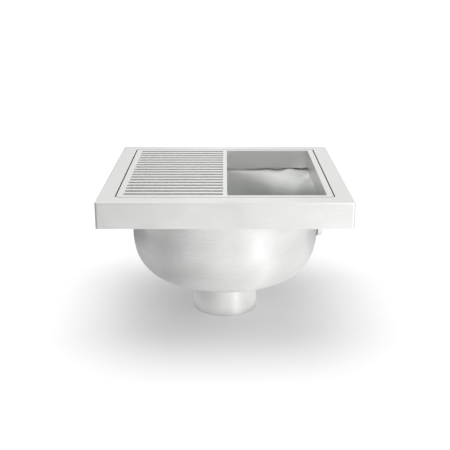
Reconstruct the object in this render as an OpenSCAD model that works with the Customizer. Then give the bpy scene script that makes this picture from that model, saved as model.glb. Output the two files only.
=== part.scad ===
// Square stainless steel floor sink with a half grate.
// A folded rim frame carries a square throat, a pressed round bowl hangs
// from the throat, and a short pipe under the bowl goes into the drain.
// Millimetres, +Z up, front of the sink towards -Y.
// Origin: centre of the outlet pipe's lower end.

/* [Overall] */
// Height from the outlet's lower end to the top of the rim
total_h = 225; // [215:1:260]

/* [Rim frame] */
// Width of the square rim, outside to outside
rim_w = 355.6; // [350:0.1:400]
// Depth of the skirt that is folded down from the rim
skirt_h = 38.1; // [36:0.1:50]
// Thickness of the rim's sheet
rim_t = 2; // [1.5:0.1:2.5]
// Bend radius outside, where the rim turns down into the skirt
rim_bend_r = 3; // [2.8:0.1:5]
// Radius of the rim's upright corners
rim_corner_r = 4; // [3:0.1:8]
// Width of the rim's level face, from its edge to the recess
rim_level_w = 24.5; // [22:0.1:27]
// Radius of the recess's corners
recess_corner_r = 7; // [5:0.1:9]

/* [Throat] */
// Width of the ledge that the grate lies on
ledge_w = 10.8; // [9:0.1:13]
// Depth of the throat's lower edge below the rim
throat_depth = 30.4; // [28:0.1:34]
// Thickness of the four seat angles
angle_t = 2; // [1.5:0.1:2.5]
// Width of the seat angles' level leg past the recess wall
weld_land = 2; // [1:0.1:3]

/* [Bowl] */
// Step from the throat's flat sides out to the round wall's outer face
wall_step = 3.1; // [2.5:0.1:5]
// Depth of the bowl's lowest point below the rim, outside
bowl_depth = 182.8; // [176:0.1:186]
// Thickness of the bowl's sheet
bowl_t = 1.6; // [1.2:0.1:2]
// Width of the bowl's land, from its lip out to its upstand
land_w = 1.9; // [1.5:0.1:4]
// Step from the throat's lower edge down to the bowl's land
land_drop = 3.4; // [2:0.1:5]
// How far the lip curls out at the middle of each side, inside
lip_curl = 3; // [2.5:0.1:4]
// Radius of the lip's corners, where it meets the land
lip_corner_r = 45; // [35:1:60]
// Height over which the round wall flares into the square lip
flare_h = 43; // [36:1:48]
// Radius of the lower flank of the wall, outside
flank_r = 109; // [90:1:140]
// Angle that the flank turns through
flank_a = 14.3; // [10:0.1:18]
// Radius of the knuckle between flank and crown, outside
knuckle_r = 62; // [50:1:72]
// Angle, measured from upright, at which the knuckle meets the crown
knuckle_a = 67.4; // [64:0.1:72]

/* [Outlet] */
// Outer diameter of the outlet pipe
outlet_d = 101.6; // [90:0.1:110]
// Wall of the outlet pipe
outlet_t = 2.1; // [1.6:0.1:3]
// Depth of the strainer's seat below the top of the pipe
seat_drop = 6.4; // [4:0.1:10]
// Thickness of the strainer's seat ring
seat_t = 2.5; // [1.5:0.1:4]
// Width of the seat ring, wall to bore
seat_w = 8.7; // [6:0.1:12]

/* [Grate] */
// Gap between the grate and the recess wall, all round
grate_gap = 1.8; // [1:0.1:2.5]
// Thickness of the grate plate
grate_t = 6.35; // [5:0.05:8]
// Distance from one slot to the next
slot_pitch = 16; // [12:0.1:16]
// Width of a slot
slot_w = 8; // [5:0.1:9]
// Width of the bar between the slots and the window
mid_bar_w = 6; // [5:0.1:10]
// Radius of the window's and the slots' corners
slot_corner_r = 1.5; // [0.5:0.1:2]
// Depth of the rib under the middle bar
mid_rib_h = 19; // [12:0.5:22]
// Thickness of the rib across the slotted half
slot_rib_t = 4; // [3:0.5:6]
// Depth of the rib across the slotted half
slot_rib_h = 10; // [6:0.5:16]
// Gap between the ribs' ends and the throat
rib_end_gap = 1.5; // [1:0.1:4]

/* [Strainer] */
// Gap between the strainer's flange and the pipe
strainer_gap = 1.2; // [0.5:0.1:2]
// Thickness of the strainer's flange ring
ring_t = 1.5; // [1:0.1:2.5]
// Width of the strainer's flange ring
ring_w = 7; // [5:0.1:9]
// Height of the dome above the flange ring
dome_h = 36; // [26:1:40]
// Thickness of the dome
dome_t = 1.2; // [0.8:0.1:2]
// Diameter of the dome's holes
hole_d = 6.4; // [4:0.1:8]
// Rows of holes, one above the other
hole_rows = 4; // [3:1:4]
// Distance between holes along a row
hole_pitch = 11; // [10:0.5:16]
// Diameter of the lift knob
knob_d = 16; // [12:0.5:20]
// Height of the lift knob
knob_h = 12; // [10:0.5:16]
// Radius that rounds the knob's edge
knob_edge_r = 2.4; // [1:0.1:3]
// Diameter of the knob's neck
neck_d = 9.6; // [8:0.1:11]
// Diameter of the knob's stud
stud_d = 5; // [4:0.5:6]
// Length of the stud past the nut
stud_tail = 1; // [0.5:0.1:3]
// Width of the nut across its flats
nut_af = 8; // [8:0.5:10]
// Thickness of the nut
nut_h = 4; // [3:0.5:5]

/* [Trap primer coupling] */
// Outer diameter of the coupling
coupling_d = 28.6; // [24:0.1:32]
// Bore of the coupling, at its thread
coupling_bore = 18.6; // [14:0.1:20]
// Distance that the coupling stands out past the bowl's round wall
coupling_stand = 21.4; // [18:0.1:28]
// Depth of the coupling's centre line below the rim
coupling_depth = 110.5; // [106:0.5:118]
// Direction of the coupling, turned from +X towards +Y
coupling_turn = 20; // [10:1:35]

/* [Anchor lugs] */
// Width of the flat bar that the lugs are bent from
lug_w = 25; // [20:1:32]
// Thickness of the flat bar
lug_t = 3; // [2:0.5:4]
// Length of the leg that is welded to the skirt
lug_leg = 22; // [16:1:24]
// Gap between the lugs and the bowl's upstand
lug_gap = 3.3; // [2:0.1:6]
// Diameter of the hole in the level leg
lug_hole_d = 9; // [6:0.5:11]
// Height of the lugs above the skirt's lower edge
lug_rise = 3; // [2:0.5:6]

/* [Hidden] */

$fn = 96;
steel = [0.86, 0.87, 0.85];
inner_steel = [0.68, 0.69, 0.67];
dark_steel = [0.55, 0.56, 0.55];

// Gap left for the weld where one piece is fitted round another
weld_gap = 0.1;
// Extra length of a cut past the face that it opens
overcut = 1;
// Growth that makes the dish's arcs cross where they would only touch
arc_lap = 0.015;
// Steps round each of the lip's corners and along each of its sides
lip_arc_n = 8;
lip_side_n = 16;
// Steps over the bowl's section: crown, knuckle, flank and flare
crown_n = 5;
knuckle_n = 7;
flank_n = 2;
flare_n = 6;
// Larger than any distance inside the sink
far = 400;

rim_half = rim_w / 2;
skirt_z = total_h - skirt_h;
skirt_inner_half = rim_half - rim_t;
recess_half = rim_half - rim_level_w;
recess_wall_half = recess_half + rim_t;
throat_half = recess_half - ledge_w;
throat_w = 2 * throat_half;
throat_wall_half = throat_half + angle_t;
seat_z = total_h - grate_t;
seat_half = recess_wall_half + weld_land;
throat_z = total_h - throat_depth;

ledge_z = seat_z - angle_t;
land_z = throat_z - land_drop;
bowl_r = throat_half + wall_step;
lip_half = bowl_r - bowl_t + lip_curl;
upstand_half = lip_half + land_w + bowl_t;
lip_side_half = lip_half - lip_corner_r;
flare_z = land_z - flare_h;

// The dish is drawn with three arcs that run into each other: flank,
// knuckle and crown. Heights here are below the start of the flank.
knuckle_centre_r = bowl_r - flank_r + (flank_r - knuckle_r) * cos(flank_a);
knuckle_drop = (flank_r - knuckle_r) * sin(flank_a);
crown_r = knuckle_r + knuckle_centre_r / cos(knuckle_a);
crown_rise = (crown_r - knuckle_r) * sin(knuckle_a) - knuckle_drop;
dish_h = crown_r - crown_rise;
bowl_z = total_h - bowl_depth;
coupling_reach = bowl_r + coupling_stand;
lug_reach = skirt_inner_half - upstand_half - lug_gap;
flank_z = bowl_z + dish_h;
flank_end_z = flank_z - flank_r * sin(flank_a);
crown_centre_z = flank_z + crown_rise;
crown_edge_r = crown_r * cos(knuckle_a);
knuckle_z = flank_z - knuckle_drop;

outlet_r = outlet_d / 2;
outlet_bore_r = outlet_r - outlet_t;
crown_start_a = asin((outlet_bore_r - seat_w) / crown_r);
crown_inner_r = crown_r - bowl_t;
floor_z = crown_centre_z - sqrt(pow(crown_inner_r, 2) - pow(outlet_bore_r, 2));
strainer_z = floor_z - seat_drop;

grate_half = recess_half - grate_gap;
grate_corner_r = recess_corner_r - grate_gap;
bar_half = mid_bar_w / 2;
rib_len = throat_w - 2 * rib_end_gap;
slot_n = floor((throat_w - slot_w) / slot_pitch) + 1;
slot_rib_x = -(throat_half + bar_half) / 2;

ring_r = outlet_bore_r - strainer_gap;
dome_base_r = ring_r - ring_w + dome_t;
dome_r = (pow(dome_base_r, 2) + pow(dome_h, 2)) / (2 * dome_h);
dome_base_z = strainer_z + ring_t;
dome_centre_z = dome_base_z + dome_h - dome_r;
dome_top_z = dome_base_z + dome_h;
dome_base_a = asin((dome_base_z - dome_centre_z) / dome_r);
nut_corner_r = nut_af / sqrt(3);
stud_land_a = acos((nut_corner_r + hole_d) / dome_r);
row_step = (stud_land_a - dome_base_a) / (hole_rows + 0.5);
stud_r = stud_d / 2;
knob_r = knob_d / 2;
nut_top_z = dome_centre_z + sqrt(pow(dome_r - dome_t, 2) - pow(nut_corner_r, 2));
nut_z = nut_top_z - nut_h;
// Gap on the radius where one round piece sits inside another
fit_gap = 0.05;

// Square with rounded corners, given by half its width
module rounded_square(half, r) {
    square([2 * half, 2 * (half - r)], center = true);
    square([2 * (half - r), 2 * half], center = true);
    for (x = [-1, 1], y = [-1, 1])
        translate([x * (half - r), y * (half - r)]) circle(r);
}

// Rectangle with rounded corners, from its low corner
module rounded_slot(w, d, r) {
    translate([0, r]) square([w, d - 2 * r]);
    translate([r, 0]) square([w - 2 * r, d]);
    for (x = [r, w - r], y = [r, d - r])
        translate([x, y]) circle(r);
}

// Upright prism on a rounded square
module prism(half, r, low, high) {
    translate([0, 0, low]) linear_extrude(high - low) rounded_square(half, r);
}

// Cross-section of a block with rounded upper edges
module arched_section(half, h, r) {
    translate([-half, 0]) square([2 * half, h - r]);
    translate([r - half, 0]) square([2 * (half - r), h]);
    for (x = [-1, 1])
        translate([x * (half - r), h - r]) circle(r);
}

// Square block with rounded upper edges and upright corners
module folded_block(half, corner_r, bend_r, low, high) {
    intersection() {
        prism(half, corner_r, low, high);
        for_section(low) arched_section(half, high - low, bend_r);
        rotate([0, 0, 90]) for_section(low) arched_section(half, high - low, bend_r);
    }
}

// Runs a cross-section along Y, with its base at a height
module for_section(low) {
    translate([0, 0, low]) rotate([90, 0, 0]) linear_extrude(far, center = true) children();
}

// Rim, skirt and recess wall, folded from one sheet
module rim_frame() color(steel) {
    difference() {
        folded_block(rim_half, rim_corner_r, rim_bend_r, skirt_z, total_h);
        folded_block(skirt_inner_half, rim_corner_r - rim_t, rim_bend_r - rim_t,
                     skirt_z - overcut, total_h - rim_t);
        prism(recess_half, recess_corner_r, skirt_z, total_h + overcut);
    }
    difference() {
        prism(recess_wall_half, recess_corner_r + rim_t, seat_z, total_h - rim_t / 2);
        prism(recess_half, recess_corner_r, seat_z - overcut, total_h + overcut);
    }
}

// One seat angle, mitred at both ends: a ledge for the grate and the throat's wall.
// Turn 0 is the right one.
module seat_angle(turn) color(inner_steel) rotate([0, 0, turn]) intersection() {
    rotate([90, 0, 0]) linear_extrude(far, center = true) {
        translate([throat_half, ledge_z]) square([seat_half - throat_half, angle_t]);
        translate([throat_half, throat_z]) square([angle_t, seat_z - throat_z]);
    }
    linear_extrude(total_h) polygon([[0, 0], [far, -far], [far, far]]);
    prism(seat_half, recess_corner_r + rim_t + weld_land, throat_z, seat_z);
}

// The lip, where the bowl meets its land, runs round a rounded square.
// One quarter of it: a corner's arc, then the side up to the next corner.
lip_quarter = [
    for (i = [0 : lip_arc_n])
        lip_corner_r * [cos(90 * i / lip_arc_n), sin(90 * i / lip_arc_n)]
            + [lip_side_half, lip_side_half],
    for (i = [1 : lip_side_n - 1])
        [lip_side_half * (1 - 2 * i / lip_side_n), lip_half]
];
lip = [for (turn = [0 : 90 : 270], p = lip_quarter)
    [p.x * cos(turn) - p.y * sin(turn), p.x * sin(turn) + p.y * cos(turn)]];

// Point on an arc of the bowl's section, at an angle measured from straight down
function arc_point(centre, r, a) = centre + r * [sin(a), -cos(a)];

// Points on the dish's section from the outlet up, drawn in by an inset
function dish_points(inset) = [
    for (i = [0 : crown_n - 1])
        arc_point([0, crown_centre_z], crown_r - inset,
                  crown_start_a + (90 - knuckle_a - crown_start_a) * i / crown_n),
    for (i = [0 : knuckle_n - 1])
        arc_point([knuckle_centre_r, knuckle_z], knuckle_r - inset,
                  90 - knuckle_a + (knuckle_a - flank_a) * i / knuckle_n),
    for (i = [0 : flank_n])
        arc_point([bowl_r - flank_r, flank_z], flank_r - inset,
                  90 - flank_a * (1 - i / flank_n))
];

// Round ring through a point of the section
function dish_ring(point) = [for (p = lip)
    [point.x * p.x / norm(p), point.x * p.y / norm(p), point.y]];

// Ring on the flare, from the round wall (rise 0) to the lip (rise 90)
function flare_ring(inset, rise) = [for (p = lip)
    let (
        r = bowl_r - inset + (norm(p) - bowl_r + inset) * (1 - cos(rise)),
        high = land_z - bowl_t + inset
    ) [p.x * r / norm(p), p.y * r / norm(p), flare_z + (high - flare_z) * sin(rise)]];

// Square ring on the upstand
function square_ring(half, z) = [for (p = lip)
    let (side = half / max(abs(p.x), abs(p.y))) [p.x * side, p.y * side, z]];

// Shell of the bowl: up the outside, over the upstand and down the inside
module bowl_shell() {
    outside = dish_points(0);
    inside = dish_points(bowl_t);
    rings = [
        for (point = outside) dish_ring(point),
        for (k = [0 : flare_n]) flare_ring(0, 90 * k / flare_n),
        square_ring(upstand_half, land_z - bowl_t),
        square_ring(upstand_half, ledge_z),
        square_ring(upstand_half - bowl_t, ledge_z),
        square_ring(upstand_half - bowl_t, land_z),
        for (k = [flare_n : -1 : 0]) flare_ring(bowl_t, 90 * k / flare_n),
        for (i = [len(inside) - 1 : -1 : 0]) dish_ring(inside[i])
    ];
    count = len(lip);
    total = len(rings);
    faces = [for (k = [0 : total - 1], i = [0 : count - 1])
        let (
            a = k * count + i,
            b = k * count + (i + 1) % count,
            c = (k + 1) % total * count + i,
            d = (k + 1) % total * count + (i + 1) % count
        ) each [[a, c, d], [a, d, b]]];
    polyhedron([for (ring = rings) each ring], faces);
}

// Half section of the dish: wall, flank, knuckle and crown
module dish_section(inset) {
    wall_r = bowl_r - inset;
    flank_low_z = flank_end_z + inset * sin(flank_a);
    translate([0, flank_z]) square([wall_r, flare_z - flank_z]);
    intersection() {
        translate([bowl_r - flank_r, flank_z]) circle(flank_r - inset + arc_lap);
        translate([0, flank_low_z]) square([wall_r, flare_z - flank_low_z]);
    }
    intersection() {
        translate([knuckle_centre_r, knuckle_z]) circle(knuckle_r - inset + 2 * arc_lap);
        square([wall_r, flank_z]);
    }
    intersection() {
        translate([0, crown_centre_z]) circle(crown_r - inset);
        square([crown_edge_r - inset * cos(knuckle_a), flank_z]);
    }
}

// Pressed bowl: square upstand and land, flared lip, round wall and dished floor
module bowl() color(steel) difference() {
    bowl_shell();
    cylinder(h = far, r = outlet_bore_r, center = true);
    coupling_place() cylinder(h = coupling_reach, d = coupling_bore);
}

// Outlet pipe, butted to the underside of the bowl's floor
module outlet_spigot() color(steel) difference() {
    cylinder(h = floor_z, r = outlet_r);
    translate([0, 0, -overcut]) cylinder(h = floor_z + 2 * overcut, r = outlet_bore_r);
    rotate_extrude() dish_section(-weld_gap / 2);
}

// Ring inside the pipe that the strainer rests on
module strainer_seat() color(inner_steel) translate([0, 0, strainer_z - seat_t]) difference() {
    cylinder(h = seat_t, r = outlet_bore_r - fit_gap);
    translate([0, 0, -overcut]) cylinder(h = seat_t + 2 * overcut, r = outlet_bore_r - seat_w);
}

// Puts a child's Z axis on the coupling's centre line
module coupling_place() {
    translate([0, 0, total_h - coupling_depth]) rotate([0, 90, coupling_turn]) children();
}

// Half coupling for the trap primer line, coped to the bowl's wall
module primer_coupling() color(steel) difference() {
    coupling_place() cylinder(h = coupling_reach, d = coupling_d);
    coupling_place() cylinder(h = coupling_reach + overcut, d = coupling_bore);
    rotate_extrude() dish_section(-weld_gap / 2);
}

// Bent anchor lug on the inside of the skirt. Turn 0 is the right one.
module anchor_lug(turn) color(dark_steel) rotate([0, 0, turn]) {
    inner_x = skirt_inner_half - lug_t;
    low = skirt_z + lug_rise;
    difference() {
        rotate([90, 0, 0]) linear_extrude(lug_w, center = true) union() {
            translate([inner_x, low + lug_t]) square([lug_t, lug_leg - lug_t]);
            translate([inner_x + lug_t - lug_reach, low]) square([lug_reach - lug_t, lug_t]);
            intersection() {
                translate([inner_x, low + lug_t]) circle(lug_t);
                translate([inner_x, low]) square(lug_t);
            }
        }
        translate([inner_x + (lug_t - lug_reach) / 2, 0, low - overcut])
            cylinder(h = lug_t + 2 * overcut, d = lug_hole_d);
    }
}

// Grate plate: slots on the left, an open window on the right
module half_grate() color(steel) difference() {
    prism(grate_half, grate_corner_r, seat_z, total_h);
    translate([0, 0, seat_z - overcut]) linear_extrude(grate_t + 2 * overcut) {
        translate([bar_half, -throat_half])
            rounded_slot(throat_half - bar_half, throat_w, slot_corner_r);
        for (i = [0 : slot_n - 1])
            translate([-throat_half, (i - (slot_n - 1) / 2) * slot_pitch - slot_w / 2])
                rounded_slot(throat_half - bar_half, slot_w, slot_corner_r);
    }
}

// Flat bar on edge under the grate, running from front to back
module grate_rib(x, t, h) color(inner_steel) {
    translate([x - t / 2, -rib_len / 2, seat_z - h]) cube([t, rib_len, h]);
}

// Perforated dome
module strainer_dome() color(dark_steel) difference() {
    translate([0, 0, dome_centre_z]) sphere(dome_r);
    translate([0, 0, dome_centre_z]) sphere(dome_r - dome_t);
    translate([0, 0, dome_base_z - far / 2]) cube(far, center = true);
    cylinder(h = far, r = stud_r + fit_gap);
    for (row = [1 : hole_rows]) {
        rise = dome_base_a + (row - 0.25) * row_step;
        holes = floor(2 * PI * dome_r * cos(rise) / hole_pitch);
        for (i = [0 : holes - 1])
            translate([0, 0, dome_centre_z])
                rotate([0, 90 - rise, (i + row / 2) * 360 / holes])
                    translate([0, 0, dome_r - dome_t - overcut])
                        cylinder(h = dome_t + 2 * overcut, d = hole_d);
    }
}

// Flat ring under the dome
module strainer_flange() color(dark_steel) translate([0, 0, strainer_z]) difference() {
    cylinder(h = ring_t, r = ring_r);
    translate([0, 0, -overcut]) cylinder(h = ring_t + 2 * overcut, r = ring_r - ring_w);
}

// Turned lift knob, with its stud through the dome
module strainer_knob() color(steel) {
    translate([0, 0, dome_top_z]) rotate_extrude() {
        square([neck_d / 2, knob_h - knob_edge_r]);
        translate([0, knob_h - 2 * knob_edge_r]) square([knob_r - knob_edge_r, 2 * knob_edge_r]);
        translate([knob_r - knob_edge_r, knob_h - knob_edge_r]) circle(knob_edge_r);
    }
    translate([0, 0, nut_z - stud_tail])
        cylinder(h = dome_top_z - nut_z + 2 * stud_tail, r = stud_r);
}

// Nut on the knob's stud, under the dome
module strainer_nut() color(steel) translate([0, 0, nut_z]) difference() {
    cylinder(h = nut_h, r = nut_corner_r, $fn = 6);
    translate([0, 0, -overcut]) cylinder(h = nut_h + 2 * overcut, r = stud_r + fit_gap);
}

rim_frame();
seat_angle(270);  // seat_angle_front
seat_angle(90);  // seat_angle_back
seat_angle(180);  // seat_angle_left
seat_angle(0);  // seat_angle_right
bowl();
outlet_spigot();
strainer_seat();
primer_coupling();
anchor_lug(270);  // anchor_lug_front
anchor_lug(90);  // anchor_lug_back
anchor_lug(180);  // anchor_lug_left
anchor_lug(0);  // anchor_lug_right
half_grate();
grate_rib(0, mid_bar_w, mid_rib_h);  // grate_mid_rib
grate_rib(slot_rib_x, slot_rib_t, slot_rib_h);  // grate_slot_rib
strainer_dome();
strainer_flange();
strainer_knob();
strainer_nut();
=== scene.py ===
# %% [markdown]
# A square floor sink of brushed stainless steel. The engineering model already has every
# piece at its real size, so this lesson is about looks: how to make pressed, folded and
# welded steel sheet look like itself. We load the fixed model first, and never move or
# resize anything in it.

# %% Load the fixed model
import math

import bmesh
import bpy
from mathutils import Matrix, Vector


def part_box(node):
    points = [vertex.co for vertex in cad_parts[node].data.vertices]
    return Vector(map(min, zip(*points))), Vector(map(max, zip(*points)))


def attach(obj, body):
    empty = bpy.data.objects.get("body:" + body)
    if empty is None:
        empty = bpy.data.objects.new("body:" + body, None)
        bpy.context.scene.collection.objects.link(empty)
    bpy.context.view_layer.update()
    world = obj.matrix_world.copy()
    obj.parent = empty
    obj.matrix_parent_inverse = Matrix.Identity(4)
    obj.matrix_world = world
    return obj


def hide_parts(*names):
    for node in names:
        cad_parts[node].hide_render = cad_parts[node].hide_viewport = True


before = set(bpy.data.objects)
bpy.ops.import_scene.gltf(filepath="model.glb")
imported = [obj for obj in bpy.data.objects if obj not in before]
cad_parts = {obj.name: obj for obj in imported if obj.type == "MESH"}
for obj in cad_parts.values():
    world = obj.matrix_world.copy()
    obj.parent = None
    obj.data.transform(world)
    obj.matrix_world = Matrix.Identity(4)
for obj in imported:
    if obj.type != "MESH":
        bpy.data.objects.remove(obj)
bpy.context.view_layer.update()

# %% [markdown]
# Everything that we add has to land on the model, so we read the places that we need from
# the nodes' own boxes. A box gives the lowest and highest corner of a node in metres. Our
# own pieces are drawn in millimetres, like the drawing of a real sink.

# %% Measure the model
MM = 0.001
X, Y, Z = 0, 1, 2


def low(node, axis):
    """Where a node begins along an axis, in millimetres to a thousandth."""
    return round(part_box(node)[0][axis] / MM, 3)


def high(node, axis):
    """Where a node ends along an axis, in millimetres to a thousandth."""
    return round(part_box(node)[1][axis] / MM, 3)


RIM_TOP = high("rim_frame", Z)
PIPE_R = high("outlet_spigot", X)
print(f"rim {2 * high('rim_frame', X)} mm wide and {RIM_TOP} mm up, pipe {2 * PIPE_R} mm across")

# %% [markdown]
# Shader trees are easier to read when each node is made in one line. The first helper makes
# a node, fills its sockets and links whatever is given as an output socket. The others are
# the nodes that we use most, each under the name of what it does.

# %% Helpers for shader nodes
def add_node(tree, kind, values=None, **settings):
    """Make a node. values maps socket names or numbers to a number, colour or output socket."""
    node = tree.nodes.new(kind)
    for key, value in settings.items():
        setattr(node, key, value)
    for key, value in (values or {}).items():
        if isinstance(value, bpy.types.NodeSocket):
            tree.links.new(value, node.inputs[key])
        else:
            node.inputs[key].default_value = value
    return node


def math_node(tree, operation, a, b=0.0, clamp=False):
    """One step of arithmetic on two values."""
    return add_node(tree, "ShaderNodeMath", {0: a, 1: b}, operation=operation, use_clamp=clamp).outputs[0]


def ramp(tree, value, first, last, start=0.0, end=1.0):
    """The value mapped from first..last to start..end, and held beyond them."""
    ends = {"From Min": first, "From Max": last, "To Min": start, "To Max": end}
    return add_node(tree, "ShaderNodeMapRange", {"Value": value, **ends}).outputs[0]


def mix(tree, kind, factor, a, b):
    """From a to b by a factor. kind is FLOAT, VECTOR or RGBA, each with its own sockets."""
    socket = {"FLOAT": 2, "VECTOR": 4, "RGBA": 6}[kind]
    node = add_node(tree, "ShaderNodeMix", {0: factor, socket: a, socket + 1: b}, data_type=kind)
    return node.outputs[socket // 2 - 1]


print("helpers for shader nodes ready")

# %% [markdown]
# Places and directions are vectors. A pattern on steel starts from the place of the shaded
# point or from the direction that the surface faces, so both get a helper, and so do the
# steps that lead from them to noise.

# %% Helpers for vectors and noise
def vector_math(tree, operation, a, b=(0.0, 0.0, 0.0)):
    """One step of arithmetic on two vectors. A length or a dot product is its second output."""
    return add_node(tree, "ShaderNodeVectorMath", {0: a, 1: b}, operation=operation).outputs


def parts(tree, vector):
    """The X, Y and Z of a vector."""
    return add_node(tree, "ShaderNodeSeparateXYZ", {0: vector}).outputs


def join(tree, x, y, z=0.0):
    """A vector from its parts."""
    return add_node(tree, "ShaderNodeCombineXYZ", {0: x, 1: y, 2: z}).outputs[0]


def spot_on(tree):
    """The place of the shaded point on the object, in metres."""
    return tree.nodes.new("ShaderNodeTexCoord").outputs["Object"]


def normal_of(tree):
    """The direction that the surface faces."""
    return tree.nodes.new("ShaderNodeNewGeometry").outputs["Normal"]


def noise(tree, vector, scale, detail, rough=0.5, distortion=0.0):
    """Cloudy noise with a mean of one half."""
    shape = {"Scale": scale, "Detail": detail, "Roughness": rough, "Distortion": distortion}
    return add_node(tree, "ShaderNodeTexNoise", {"Vector": vector, **shape}).outputs[0]


print("helpers for vectors and noise ready")

# %% [markdown]
# An effect that several materials share is a node group. It is built once, with named inputs
# and outputs, and each material that places it can give the inputs its own values.

# %% Helpers for node groups
def new_group(name, inputs, outputs):
    """An empty node group with named float inputs and outputs."""
    tree = bpy.data.node_groups.new(name, "ShaderNodeTree")
    for label, default in inputs:
        socket = tree.interface.new_socket(label, in_out="INPUT", socket_type="NodeSocketFloat")
        socket.default_value = default
    for label in outputs:
        tree.interface.new_socket(label, in_out="OUTPUT", socket_type="NodeSocketFloat")
    return tree, tree.nodes.new("NodeGroupInput"), tree.nodes.new("NodeGroupOutput")


def place_group(tree, group, **values):
    """Put a node group into a material, with its own values for the inputs."""
    node = tree.nodes.new("ShaderNodeGroup")
    node.node_tree = group
    for key, value in values.items():
        node.inputs[key.replace("_", " ").capitalize()].default_value = value
    return node


print("helpers for node groups ready")

# %% [markdown]
# Brushed sheet is steel that ran under an abrasive belt. The belt leaves fine scratches
# along one direction, a few of them wider than the rest. We get them from noise that is
# squeezed across the grain and stretched along it. On level faces the grain runs from side
# to side, and on upright faces it runs level, so the group picks its directions from the
# surface normal.

# %% Node group: belt grain on flat sheet
BROADER = (0.3, 0.17, 1.0)
FINE_PART = 0.55
STREAK_RANGE = (0.32, 0.68)
LEVEL_FROM = 0.6


def grain_outputs(tree, group_in, group_out, along, across, slow):
    """Feed the group's outputs from coordinates along and across the grain, and a slow third."""
    length = math_node(tree, "MULTIPLY", along, group_in.outputs["Length"])
    width = math_node(tree, "MULTIPLY", across, group_in.outputs["Width"])
    spot = join(tree, length, width, slow)
    fine = noise(tree, spot, 1.0, 2.0, rough=0.7)
    broad = noise(tree, vector_math(tree, "MULTIPLY", spot, BROADER)[0], 1.0, 3.0, rough=0.6)
    fine_part = math_node(tree, "MULTIPLY", fine, FINE_PART)
    broad_part = math_node(tree, "MULTIPLY", broad, 1.0 - FINE_PART)
    both = math_node(tree, "ADD", fine_part, broad_part)
    tree.links.new(ramp(tree, both, *STREAK_RANGE), group_out.inputs["Streak"])
    tree.links.new(both, group_out.inputs["Height"])


def is_level(tree):
    """1 on level faces, 0 on upright ones."""
    upward = math_node(tree, "ABSOLUTE", parts(tree, normal_of(tree))["Z"])
    return math_node(tree, "GREATER_THAN", upward, LEVEL_FROM)


def make_flat_grain():
    scales = [("Length", 45.0), ("Width", 3200.0)]
    tree, group_in, group_out = new_group("belt grain", scales, ["Streak", "Height"])
    place = parts(tree, spot_on(tree))
    level = is_level(tree)
    upright = math_node(tree, "SUBTRACT", 1.0, level)
    along = math_node(tree, "ADD", place["X"], math_node(tree, "MULTIPLY", place["Y"], upright))
    across_level = math_node(tree, "MULTIPLY", place["Y"], level)
    across_upright = math_node(tree, "MULTIPLY", place["Z"], upright)
    across = math_node(tree, "ADD", across_level, across_upright)
    grain_outputs(tree, group_in, group_out, along, across, 0.0)
    return tree


flat_grain = make_flat_grain()
print("group:", flat_grain.name)

# %% [markdown]
# A spun or turned piece is polished while it revolves, so its scratches are rings. Height
# plus distance from the axis grows steadily over a whole bowl, from the middle of its floor
# to its mouth, which makes it a good coordinate across the rings. Along the rings the noise
# changes slowly with the place itself, and so it has no seam.

# %% Node group: rings on turned pieces
def make_ring_grain():
    scales = [("Length", 16.0), ("Width", 2600.0)]
    tree, group_in, group_out = new_group("ring grain", scales, ["Streak", "Height"])
    place = parts(tree, spot_on(tree))
    radius = vector_math(tree, "LENGTH", join(tree, place["X"], place["Y"]))["Value"]
    across = math_node(tree, "ADD", place["Z"], radius)
    slow = math_node(tree, "MULTIPLY", place["Y"], group_in.outputs["Length"])
    grain_outputs(tree, group_in, group_out, place["X"], across, slow)
    return tree


ring_grain = make_ring_grain()
print("group:", ring_grain.name)

# %% [markdown]
# Nobody handles steel without leaving a trace. Grease, wiping and storage leave faint
# cloudy patches, where the steel is a little duller, and a few tiny pits and marks. One
# group gives both as masks, so each material decides how much of them it shows.

# %% Node group: handling marks
CLOUD_RANGE, MARK_RANGE = (0.35, 0.7), (0.7, 0.78)


def make_handling():
    sizes = [("Patch size", 14.0), ("Mark size", 420.0)]
    tree, group_in, group_out = new_group("handling marks", sizes, ["Cloud", "Marks"])
    spot = spot_on(tree)
    cloud = noise(tree, spot, group_in.outputs["Patch size"], 4.0, rough=0.55, distortion=0.6)
    mark = noise(tree, spot, group_in.outputs["Mark size"], 1.0)
    tree.links.new(ramp(tree, cloud, *CLOUD_RANGE), group_out.inputs["Cloud"])
    tree.links.new(ramp(tree, mark, *MARK_RANGE), group_out.inputs["Marks"])
    return tree


handling = make_handling()
print("group:", handling.name)

# %% [markdown]
# The narrow gap round the grate is deep and little light reaches into it, so its walls and its ledge are
# painted dark as shade. This painted shade is why the gap reads as a black line. The plate's own edge gets
# half of it, because that edge leaves the gap when the plate is lifted. The mask finds the gap by its
# distance from the middle and its depth below the rim, and Amount says how much of the painted shade a steel
# gets.

# %% Node group: painted shade in the gap
GRATE_HALF = high("half_grate", X)
GAP = 1.8
GAP_EDGE = (0.2, 0.05)
SHADE_DEPTH = (0.3, 2.5)


def make_gap_shade():
    tree, group_in, group_out = new_group("painted gap shade", [("Amount", 1.0)], ["Grime"])
    place = parts(tree, spot_on(tree))
    far_x, far_y = (math_node(tree, "ABSOLUTE", place[axis]) for axis in ("X", "Y"))
    far = math_node(tree, "MAXIMUM", far_x, far_y)
    outside = ramp(tree, far, *((GRATE_HALF - edge) * MM for edge in GAP_EDGE))
    inside = ramp(tree, far, *((GRATE_HALF + GAP + edge) * MM for edge in GAP_EDGE))
    deep = ramp(tree, place["Z"], *((RIM_TOP - depth) * MM for depth in SHADE_DEPTH))
    band = math_node(tree, "MULTIPLY", outside, inside)
    # The mask marks where painted shade darkens the gap round the grate.
    mask = math_node(tree, "MULTIPLY", band, deep)
    painted_shade = math_node(tree, "MULTIPLY", mask, group_in.outputs["Amount"])
    tree.links.new(painted_shade, group_out.inputs["Grime"])
    return tree


gap_shade = make_gap_shade()
print("group:", gap_shade.name)

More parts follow.
